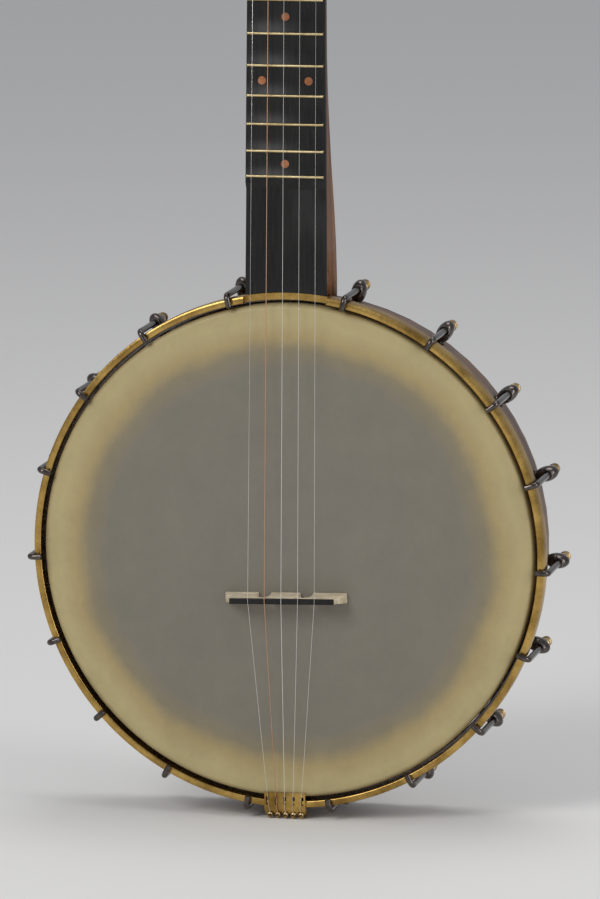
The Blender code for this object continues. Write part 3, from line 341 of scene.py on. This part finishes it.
class Finish:
    """A new material, with short calls for the nodes that colour it."""

    def __init__(self, name, color, roughness, metallic=0.0):
        self.material = bpy.data.materials.new(name)
        self.material.use_nodes = True
        self.tree = self.material.node_tree
        self.shader = self.tree.nodes["Principled BSDF"].inputs
        self.shader["Base Color"].default_value = (*color, 1)
        self.shader["Roughness"].default_value = roughness
        self.shader["Metallic"].default_value = metallic

    def node(self, kind):
        return self.tree.nodes.new(f"ShaderNode{kind}")

    def link(self, value, socket):
        if isinstance(value, bpy.types.NodeSocket):
            self.tree.links.new(value, socket)
        else:
            socket.default_value = value

    def place(self):
        """Coordinates from the middle of the head's front, in metres."""
        return self.vector("SUBTRACT", self.node("TexCoord").outputs["Object"], tuple(POT))

    def vector(self, operation, first, second):
        node = self.node("VectorMath")
        node.operation = operation
        self.link(first, node.inputs[0])
        self.link(second, node.inputs[1])
        return node.outputs["Vector"]

    def number(self, operation, first, second=0.0):
        node = self.node("Math")
        node.operation = operation
        self.link(first, node.inputs[0])
        self.link(second, node.inputs[1])
        return node.outputs[0]

    def length(self, x, z):
        squares = self.number("ADD", self.number("MULTIPLY", x, x), self.number("MULTIPLY", z, z))
        return self.number("SQRT", squares)

    def split(self, value):
        node = self.node("SeparateXYZ")
        self.link(value, node.inputs[0])
        return node.outputs

    def join(self, x, y, z):
        node = self.node("CombineXYZ")
        for value, socket in zip((x, y, z), node.inputs):
            self.link(value, socket)
        return node.outputs[0]

    def noise(self, place, scale, detail=3.0, roughness=0.55):
        node = self.node("TexNoise")
        self.link(place, node.inputs["Vector"])
        node.inputs["Scale"].default_value = scale
        node.inputs["Detail"].default_value = detail
        node.inputs["Roughness"].default_value = roughness
        return node.outputs["Fac"]

    def ramp(self, value, *stops):
        """Colours by value, from (value, colour) stops."""
        node = self.node("ValToRGB")
        self.link(value, node.inputs[0])
        elements = node.color_ramp.elements
        while len(elements) < len(stops):
            elements.new(0.5)
        for element, (at, color) in zip(elements, stops):
            element.position = at
            element.color = (*color, 1)
        return node.outputs["Color"]

    def darken(self, first, second):
        """The product of two colours."""
        node = self.node("Mix")
        node.data_type = "RGBA"
        node.blend_type = "MULTIPLY"
        self.link(1.0, node.inputs[0])
        self.link(first, node.inputs[6])
        self.link(second, node.inputs[7])
        return node.outputs[2]

    def bump(self, height, distance, strength):
        node = self.node("Bump")
        node.inputs["Strength"].default_value = strength
        node.inputs["Distance"].default_value = distance
        self.link(height, node.inputs["Height"])
        self.link(node.outputs[0], self.shader["Normal"])

    def color(self, value):
        self.link(value, self.shader["Base Color"])

    def rough(self, value, low, high):
        """Roughness from low to high as value goes from 0 to 1."""
        node = self.node("MapRange")
        self.link(value, node.inputs[0])
        node.inputs[3].default_value = low
        node.inputs[4].default_value = high
        self.link(node.outputs[0], self.shader["Roughness"])


def gray(value):
    return (value, value, value)


def dimmed(color, share):
    return tuple(value * share for value in color)


def ring_grain(finish):
    """Coordinates that follow wood bent round the pot."""
    x, y, z = finish.split(finish.place())
    angle = finish.number("ARCTAN2", x, z)
    radius = finish.length(x, z)
    return finish.join(finish.number("MULTIPLY", angle, GRAIN_PER_RADIAN), y, radius)


def wood(name, dark, light, roughness, direction=None):
    """Fine open-pored wood. Without a direction for its grain it is bent round the pot."""
    finish = Finish(name, light, roughness)
    grain = finish.vector("MULTIPLY", finish.place(), direction) if direction else ring_grain(finish)
    broad = finish.noise(grain, scale=120, detail=4, roughness=0.6)
    fine = finish.noise(grain, scale=900, detail=3, roughness=0.6)
    pores = finish.noise(grain, scale=2600, detail=2, roughness=0.5)
    base = finish.ramp(broad, (0.3, dark), (0.52, light), (0.75, dimmed(light, 0.72)))
    streak = finish.ramp(fine, (0.35, gray(0.62)), (0.6, gray(1.0)))
    pore = finish.ramp(pores, (0.36, gray(0.45)), (0.46, gray(1.0)))
    finish.color(finish.darken(finish.darken(base, streak), pore))
    finish.rough(fine, roughness - 0.06, roughness + 0.1)
    finish.bump(pores, distance=0.00006, strength=0.6)
    finish.shader["Specular IOR Level"].default_value = WOOD_SPECULAR
    return finish.material


def ebony():
    """Black wood with faint streaks along the neck."""
    finish = Finish("ebony", (0.012, 0.012, 0.013), 0.42)
    grain = finish.vector("MULTIPLY", finish.place(), STREAKS_ALONG_NECK)
    streaks = finish.noise(grain, scale=700, detail=4, roughness=0.6)
    finish.color(finish.ramp(streaks, (0.35, (0.004, 0.004, 0.004)), (0.7, (0.013, 0.012, 0.011))))
    finish.rough(streaks, 0.34, 0.5)
    finish.bump(streaks, distance=0.00004, strength=0.4)
    finish.shader["Specular IOR Level"].default_value = WOOD_SPECULAR
    return finish.material


def bone():
    finish = Finish("bone", (0.72, 0.66, 0.52), 0.35)
    cloud = finish.noise(finish.place(), scale=500)
    finish.color(finish.ramp(cloud, (0.3, (0.60, 0.52, 0.37)), (0.7, (0.75, 0.69, 0.55))))
    return finish.material


def plain_wire():
    """Steel of the four thin strings."""
    finish = Finish("wire", (0.92, 0.90, 0.87), 0.3, metallic=1.0)
    finish.rough(finish.noise(finish.place(), scale=900), 0.18, 0.3)
    return finish.material


def wound_wire():
    """Bronze wire wound round the thick string, with a painted highlight on each turn's crest and painted
    shade in the grooves between turns.
    """
    finish = Finish("wound_wire", (0.62, 0.32, 0.19), 0.33, metallic=1.0)
    _, _, z = finish.split(finish.place())
    turns_and_painted_shade = finish.number("SINE", finish.number("MULTIPLY", z, 2 * math.pi / WINDING_PITCH))
    # Painted highlight and shade: each turn of wire is coloured lighter on its crest and darker in the
    # groove beside the next turn, on top of the bump.
    finish.color(finish.ramp(turns_and_painted_shade, (0.0, (0.55, 0.30, 0.17)), (0.6, (0.86, 0.55, 0.36))))
    finish.bump(turns_and_painted_shade, distance=0.00005, strength=0.5)
    return finish.material


def aged_brass(name, dark, light, roughness, rubbed=True):
    """Bare metal that has toned unevenly, with fine rub marks."""
    finish = Finish(name, light, roughness, metallic=1.0)
    place = finish.place()
    cloud = finish.noise(place, scale=45, detail=4, roughness=0.6)
    spots = finish.noise(place, scale=420, detail=3, roughness=0.6)
    base = finish.ramp(cloud, (0.32, dark), (0.62, light))
    finish.color(finish.darken(base, finish.ramp(spots, (0.34, gray(0.86)), (0.5, gray(1.0)))))
    finish.rough(spots, roughness - 0.08, roughness + 0.14)
    if rubbed:
        finish.bump(finish.noise(place, scale=1500, detail=2), distance=0.00003, strength=0.3)
    return finish.material


def dark_nickel():
    """Smoked nickel of the hooks and shoes."""
    light = (0.135, 0.115, 0.105)
    finish = Finish("dark_nickel", light, 0.2, metallic=1.0)
    cloud = finish.noise(finish.place(), scale=260, detail=3, roughness=0.6)
    finish.color(finish.ramp(cloud, (0.3, dimmed(light, 0.55)), (0.65, light)))
    finish.rough(cloud, 0.12, 0.26)
    return finish.material


def head_skin():
    """The head: grey where it lies free, with a painted honey-coloured ring of light near the rim, where
    the tone ring shows through the skin and the crown catches the light.
    """
    finish = Finish("head_skin", (0.2, 0.18, 0.14), 0.55)
    place = finish.place()
    x, _, z = finish.split(place)
    radius = finish.length(x, z)
    cloud = finish.noise(place, scale=16, detail=4, roughness=0.6)
    wander = finish.number("MULTIPLY", finish.number("SUBTRACT", cloud, 0.5), SKIN_COLOR_WANDER)
    share = finish.number("DIVIDE", finish.number("ADD", radius, wander), SKIN_COLOR_RADIUS)
    # Painted light: the honey-coloured ring near the rim stands for the tone ring showing through the skin
    # and the crown catching the light.
    base = finish.ramp(share, *SKIN_COLORS_AND_PAINTED_RING)
    grain = finish.vector("MULTIPLY", place, FIBRES_IN_SKIN)
    fibres = finish.noise(grain, scale=240, detail=5, roughness=0.7)
    fibre = finish.ramp(fibres, (0.3, gray(0.93)), (0.7, gray(1.0)))
    stains = finish.noise(place, scale=38, detail=5, roughness=0.65)
    stain = finish.ramp(stains, (0.3, gray(0.9)), (0.65, gray(1.0)))
    finish.color(finish.darken(finish.darken(base, fibre), stain))
    finish.rough(fibres, 0.46, 0.62)
    finish.bump(fibres, distance=0.00008, strength=0.4)
    finish.shader["Sheen Weight"].default_value = SKIN_SHEEN
    return finish.material


def make_finishes():
    return {
        "walnut": wood("walnut_neck", (0.085, 0.032, 0.012), (0.27, 0.112, 0.043), 0.5, GRAIN_ALONG_NECK),
        "rim": wood("walnut_rim", (0.080, 0.045, 0.028), (0.20, 0.115, 0.070), 0.38),
        "maple": wood("maple", (0.62, 0.49, 0.31), (0.86, 0.74, 0.54), 0.45, GRAIN_ALONG_BRIDGE),
        "ebony": ebony(),
        "bone": bone(),
        "head_skin": head_skin(),
        "brass": aged_brass("brass", (0.26, 0.150, 0.036), (0.58, 0.375, 0.110), 0.24),
        "nut_brass": aged_brass("nut_brass", (0.24, 0.15, 0.05), (0.58, 0.41, 0.17), 0.24),
        "fret_gold": aged_brass("fret_gold", (0.50, 0.37, 0.17), (0.74, 0.60, 0.34), 0.3, rubbed=False),
        "copper": aged_brass("copper", (0.38, 0.14, 0.06), (0.62, 0.27, 0.14), 0.3),
        "dark_nickel": dark_nickel(),
        "steel": plain_wire(),
        "bronze": wound_wire(),
    }


# Shapes that the pieces are made of.


def full_turn(steps, offset=0.0):
    """Angles evenly round a circle."""
    return [2 * math.pi * (step + offset) / steps for step in range(steps)]


def box_at(shape, middle, size):
    place = Matrix.Translation(middle) @ Matrix.Diagonal((*size, 1))
    bmesh.ops.create_cube(shape, size=1, matrix=place)


def cover(shape, rows, slot=0, closed=False):
    """Faces over closed rows of points. closed joins the last row to the first, or else both are capped."""
    rows = [[shape.verts.new(point) for point in row] for row in rows]
    if closed:
        faces = []
        rows.append(rows[0])
    else:
        faces = [shape.faces.new(rows[0][::-1]), shape.faces.new(rows[-1])]
    for one, two in zip(rows, rows[1:]):
        for i in range(len(one)):
            j = (i + 1) % len(one)
            faces.append(shape.faces.new((one[i], one[j], two[j], two[i])))
    for face in faces:
        face.material_index = slot


def turned(shape, profile, place, sides, slot=0):
    """A (radius, height) profile turned round the local Z axis of place, closed at both ends."""
    rows = []
    for radius, height in profile:
        ring = [Vector((radius * math.cos(a), radius * math.sin(a), height)) for a in full_turn(sides)]
        rows.append([place @ point for point in ring])
    cover(shape, rows, slot)


def rod(shape, path, place, sides, slot=0):
    """A round rod in the local YZ plane through (depth, height, radius) points."""
    rows = []
    for i, (y, z, radius) in enumerate(path):
        before = path[max(i - 1, 0)]
        after = path[min(i + 1, len(path) - 1)]
        ahead = Vector((0, after[0] - before[0], after[1] - before[1])).normalized()
        other = ahead.cross(RIGHT)
        rows.append([
            place @ (Vector((radius * math.cos(a), y, z)) + other * radius * math.sin(a))
            for a in full_turn(sides)
        ])
    cover(shape, rows, slot)


def arc(radius, height, size, start, end, steps):
    """(radius, height) points on a circle, with angles in degrees from the outward direction."""
    found = []
    for step in range(steps + 1):
        angle = math.radians(start + (end - start) * step / steps)
        found.append((radius + size * math.cos(angle), height + size * math.sin(angle)))
    return found


def face_outwards(shape):
    bmesh.ops.recalc_face_normals(shape, faces=shape.faces)
    return shape


def shade(mesh):
    mesh.shade_smooth()
    mesh.set_sharp_from_angle(angle=SMOOTH_ANGLE)


def new_mesh(name, shape):
    mesh = bpy.data.meshes.new(name)
    shape.to_mesh(mesh)
    shape.free()
    return mesh


def new_piece(name, shape, finish, body="instrument"):
    mesh = new_mesh(name, shape)
    shade(mesh)
    mesh.materials.append(finish)
    piece = link_object(name, mesh)
    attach(piece, body)
    return piece


def cut_away(piece, cutter_shape):
    """Cuts the shape out of the piece for good."""
    cutter = link_object("cutter", new_mesh("cutter", cutter_shape))
    step = piece.modifiers.new("cut", "BOOLEAN")
    step.object = cutter
    step.solver = "EXACT"
    graph = bpy.context.evaluated_depsgraph_get()
    cut = bpy.data.meshes.new_from_object(piece.evaluated_get(graph))
    piece.modifiers.remove(step)
    bpy.data.objects.remove(cutter)
    piece.data = cut
    shade(cut)


def soften_edges(piece, width):
    """Small rounded edges, which catch the light as real ones do."""
    step = piece.modifiers.new("edges", "BEVEL")
    step.width = width
    step.segments = SOFT_EDGE_SEGMENTS
    step.limit_method = "ANGLE"
    step.angle_limit = SOFT_EDGE_ANGLE


# Pieces.


def add_copies(finishes):
    """Smoothly shaded copies stand for the solids that get no shape of their own here."""
    slots = {part["node"]: part["material_slot"] for part in frame["record"]["subparts"]}
    bodies = {}
    for body, members in frame["record"]["behaviour"]["bodies"].items():
        for member in members:
            bodies[member] = body
    for name, node in frame["nodes"].items():
        if name.startswith("bracket_") or name in ("head", "tension_hoop"):
            continue
        shape = bmesh.new()
        shape.from_mesh(node.data)
        bmesh.ops.remove_doubles(shape, verts=shape.verts, dist=WELD_DISTANCE)
        finish = finishes[OTHER_FINISHES.get(name, slots[name])]
        piece = new_piece(f"{name}_look", shape, finish, bodies[name])
        if name == "tailpiece":
            cut_string_slots(piece)
        if name in SOFT_EDGES:
            soften_edges(piece, SOFT_EDGES[name])
        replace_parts(piece, name)


def cut_string_slots(piece):
    """The tailpiece's five open slots, one over each string."""
    shape = bmesh.new()
    for index in range(STRING_COUNT):
        x = TAIL_SHIFT + (index - MIDDLE_STRING) * TAIL_SPACING
        box_at(shape, POT + Vector((x, SLOT_DEPTH, SLOT_RISE)), SLOT_SIZE)
    cut_away(piece, shape)


def add_head(finishes):
    """The skin over the tone ring's crown, with its collar down to the flesh hoop."""
    crown = SKIN_RADIUS - SKIN_SHOULDER
    profile = [(CENTRE_RADIUS, 0), (FLAT_RADIUS, 0)]
    profile += arc(crown, SKIN_SHOULDER, SKIN_SHOULDER, -90, 0, SHOULDER_STEPS)
    profile += [(SKIN_RADIUS, COLLAR_BACK), (SKIN_RADIUS - SKIN, COLLAR_BACK)]
    profile += arc(crown, SKIN_SHOULDER, SKIN_SHOULDER - SKIN, 0, -90, SHOULDER_STEPS)
    profile += [(FLAT_RADIUS, SKIN), (CENTRE_RADIUS, SKIN)]
    shape = bmesh.new()
    turned(shape, profile, POT_AXIS, ROUND_SIDES)
    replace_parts(new_piece("head_look", face_outwards(shape), finishes["head_skin"]), "head")


def add_tension_hoop(finishes):
    """The brass hoop with its chamfered front edge, filed down where the fingerboard passes over it."""
    profile = [
        (HOOP_INNER, HOOP_FRONT + HOOP_LIP),
        (HOOP_INNER + HOOP_EDGE, HOOP_FRONT + HOOP_LIP / 4),
        (HOOP_INNER + 2 * HOOP_EDGE, HOOP_FRONT),
        (HOOP_OUTER - 3 * HOOP_EDGE, HOOP_FRONT),
        (HOOP_OUTER - HOOP_EDGE, HOOP_FRONT + HOOP_EDGE),
        (HOOP_OUTER, HOOP_FRONT + 3 * HOOP_EDGE),
        (HOOP_OUTER, HOOP_BACK - HOOP_EDGE),
        (HOOP_OUTER - HOOP_EDGE, HOOP_BACK),
        (HOOP_INNER + HOOP_EDGE, HOOP_BACK),
        (HOOP_INNER, HOOP_BACK - HOOP_EDGE),
    ]
    rows = []
    for angle in full_turn(ROUND_SIDES, offset=0.5):
        rows.append([
            POT_AXIS @ Vector((radius * math.cos(angle), radius * math.sin(angle), depth))
            for radius, depth in profile
        ])
    shape = bmesh.new()
    cover(shape, rows, closed=True)
    piece = new_piece("tension_hoop_look", face_outwards(shape), finishes["brass"])
    half_width = POT_END_WIDTH / 2 + 2 * CLEARANCE
    bottom, top = NOTCH_CUTTER_REACH
    low = Vector((POT_END_SHIFT - half_width, NOTCH_CUTTER_FRONT, bottom))
    high = Vector((POT_END_SHIFT + half_width, HOOP_FRONT + NOTCH_DEPTH, top))
    notch = bmesh.new()
    box_at(notch, POT + (low + high) / 2, high - low)
    cut_away(piece, notch)
    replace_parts(piece, "tension_hoop")


def hook_path():
    """The hook's centre line as (depth, height, radius) points, from the claw's tip to behind the shoe."""
    path = [(CLAW_DEPTH, height, radius) for height, radius in CLAW_TIP]
    for step in range(CLAW_STEPS + 1):
        angle = math.radians(-90 + 90 * step / CLAW_STEPS)
        depth = CLAW_DEPTH + CLAW_BEND + CLAW_BEND * math.sin(angle)
        path.append((depth, HOOK_HEIGHT - CLAW_BEND + CLAW_BEND * math.cos(angle), HOOK_RADIUS))
    return path + [(depth, HOOK_HEIGHT, HOOK_RADIUS) for depth in HOOK_DEPTHS]


def bracket_shape(place):
    """Hook, ball shoe, screw head and ringed nut of one bracket, whose own Z axis points outwards."""
    shape = bmesh.new()
    rod(shape, hook_path(), place, HOOK_SIDES, METAL)
    angles = [math.pi * step / SHOE_STEPS for step in range(1, SHOE_STEPS)]
    ball = [(math.sin(angle), -math.cos(angle)) for angle in angles]
    shoe = Matrix.Translation((0, SHOE_DEPTH, SHOE_HEIGHT)) @ Matrix.Diagonal((*SHOE_RADII, 1))
    turned(shape, ball, place @ shoe, SHOE_SIDES, METAL)
    under_shoe = place @ Matrix.Translation((0, SHOE_DEPTH, 0))
    turned(shape, FOOT_PROFILE, under_shoe, FOOT_SIDES, METAL)
    for depth in COLLAR_DEPTHS:
        collar = place @ Matrix.Translation((0, depth, HOOK_HEIGHT)) @ BACKWARD
        turned(shape, COLLAR_PROFILE, collar, SMALL_SIDES, METAL)
    turned(shape, SCREW_PROFILE, under_shoe, SMALL_SIDES, METAL)
    nut = place @ Matrix.Translation((0, NUT_DEPTH, HOOK_HEIGHT)) @ BACKWARD
    turned(shape, NUT_PROFILE, nut, SMALL_SIDES, NUT_METAL)
    return face_outwards(shape)


def add_brackets(finishes):
    """Eighteen brackets, numbered clockwise from the neck as seen from the front."""
    step = (LAST_BRACKET_ANGLE - FIRST_BRACKET_ANGLE) / (BRACKETS_PER_SIDE - 1)
    right = [NECK_BRACKET_ANGLE] + [FIRST_BRACKET_ANGLE + step * i for i in range(BRACKETS_PER_SIDE)]
    for number, angle in enumerate(right + [-angle for angle in right[::-1]], start=1):
        place = Matrix.Translation(POT) @ Matrix.Rotation(math.radians(angle), 4, "Y")
        name = f"bracket_{number:02d}"
        piece = new_piece(f"{name}_look", bracket_shape(place), finishes["dark_nickel"])
        piece.data.materials.append(finishes["nut_brass"])
        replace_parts(piece, name)


def board_right(along):
    """The board's right edge at a distance from the bridge line."""
    pot = POT_END_SHIFT + POT_END_WIDTH / 2
    nut = NUT_SHIFT + NUT_WIDTH / 2
    return pot + (nut - pot) * (along - POT_END) / (SCALE_LENGTH - POT_END)


def board_left(along):
    """The board's left edge, with a curved shoulder past the fifth fret to four strings' width."""
    pot = POT_END_SHIFT - POT_END_WIDTH / 2
    at_fifth = board_right(FIFTH_FRET) - FIFTH_FRET_WIDTH
    wide = pot + (at_fifth - pot) * (along - POT_END) / (FIFTH_FRET - POT_END)
    string_at_bridge = BRIDGE_SHIFT - BRIDGE_SPACING
    string_at_nut = NUT_SHIFT - 1.5 * NUT_SPACING
    fourth_string = string_at_bridge + (string_at_nut - string_at_bridge) * FIFTH_FRET / SCALE_LENGTH
    narrow = fourth_string - FOURTH_STRING_MARGIN
    at_nut = NUT_SHIFT - NUT_WIDTH / 2
    narrow += (at_nut - narrow) * (along - FIFTH_FRET) / (SCALE_LENGTH - FIFTH_FRET)
    fade = min(max((along - SHOULDER_START) / SHOULDER_LENGTH, 0), 1)
    fade = fade * fade * (3 - 2 * fade)
    return wide + (narrow - wide) * fade


def fret_outline():
    """A fret's cross section as (length along the neck, depth) points."""
    outline = [(-FRET_HALF_WIDTH, FRET_BASE), (-FRET_HALF_WIDTH, FRET_SIDE)]
    for step in range(CROWN_STEPS + 1):
        angle = math.pi * step / CROWN_STEPS
        crown = -math.cos(angle) * FRET_HALF_WIDTH * CROWN_SHARE
        outline.append((crown, CROWN_DEPTH - CROWN_HEIGHT * math.sin(angle)))
    return outline + [(FRET_HALF_WIDTH, FRET_SIDE), (FRET_HALF_WIDTH, FRET_BASE)]


def add_frets(finishes):
    shape = bmesh.new()
    for number in range(1, FRET_COUNT + 1):
        along = SCALE_LENGTH * 2 ** (-number / 12)
        left = board_left(along) + FRET_END_GAP
        right = board_right(along) - FRET_END_GAP
        stations = (
            (left, FRET_SLOPE),
            (left + FRET_SLOPE, 0),
            (right - FRET_SLOPE, 0),
            (right, FRET_SLOPE),
        )
        rows = []
        for x, drop in stations:
            row = [(z, y + drop if y < FRET_BASE else y) for z, y in fret_outline()]
            rows.append([NECK @ Vector((x, y, along + z)) for z, y in row])
        cover(shape, rows)
    new_piece("frets", face_outwards(shape), finishes["fret_gold"])


def add_dots(finishes):
    """Copper dots halfway between a fret and the one above it."""
    shape = bmesh.new()
    for number, places in DOTS.items():
        along = SCALE_LENGTH * (2 ** (-number / 12) + 2 ** (-(number - 1) / 12)) / 2
        middle = (board_left(along) + board_right(along)) / 2
        for x in places:
            circle = [
                (middle + x + DOT_RADIUS * math.cos(a), along + DOT_RADIUS * math.sin(a))
                for a in full_turn(DOT_SIDES)
            ]
            cover(shape, [[NECK @ Vector((x, y, z)) for x, z in circle] for y in (DOT_BACK, DOT_FRONT)])
    new_piece("position_dots", face_outwards(shape), finishes["copper"])


def add_string_loops(finishes):
    """The strings' end loops, each round its pin on the tailpiece's lower lip."""
    shape = bmesh.new()
    sideways = PIN_OUT.cross(RIGHT)
    for index in range(STRING_COUNT):
        x = TAIL_SHIFT + (index - MIDDLE_STRING) * PIN_SPACING
        middle = POT + Vector((x, PIN_DEPTH, PIN_RISE)) + PIN_OUT * LOOP_LIFT
        for loop_radius, wire, lift in WRAPS:
            rows = []
            for angle in full_turn(LOOP_STEPS):
                side = RIGHT * math.cos(angle) + sideways * math.sin(angle)
                rows.append([
                    middle
                    + PIN_OUT * (lift + wire * math.sin(turn))
                    + side * (loop_radius + wire * math.cos(turn))
                    for turn in full_turn(WIRE_SIDES)
                ])
            cover(shape, rows, closed=True)
    new_piece("string_loops", face_outwards(shape), finishes["fret_gold"])


def build():
    add_camera()
    add_lamps()
    add_world()
    add_floor()
    finishes = make_finishes()
    add_copies(finishes)
    add_head(finishes)
    add_tension_hoop(finishes)
    add_brackets(finishes)
    add_frets(finishes)
    add_dots(finishes)
    add_string_loops(finishes)
    SIZE["visual"] = plain_box()


build()
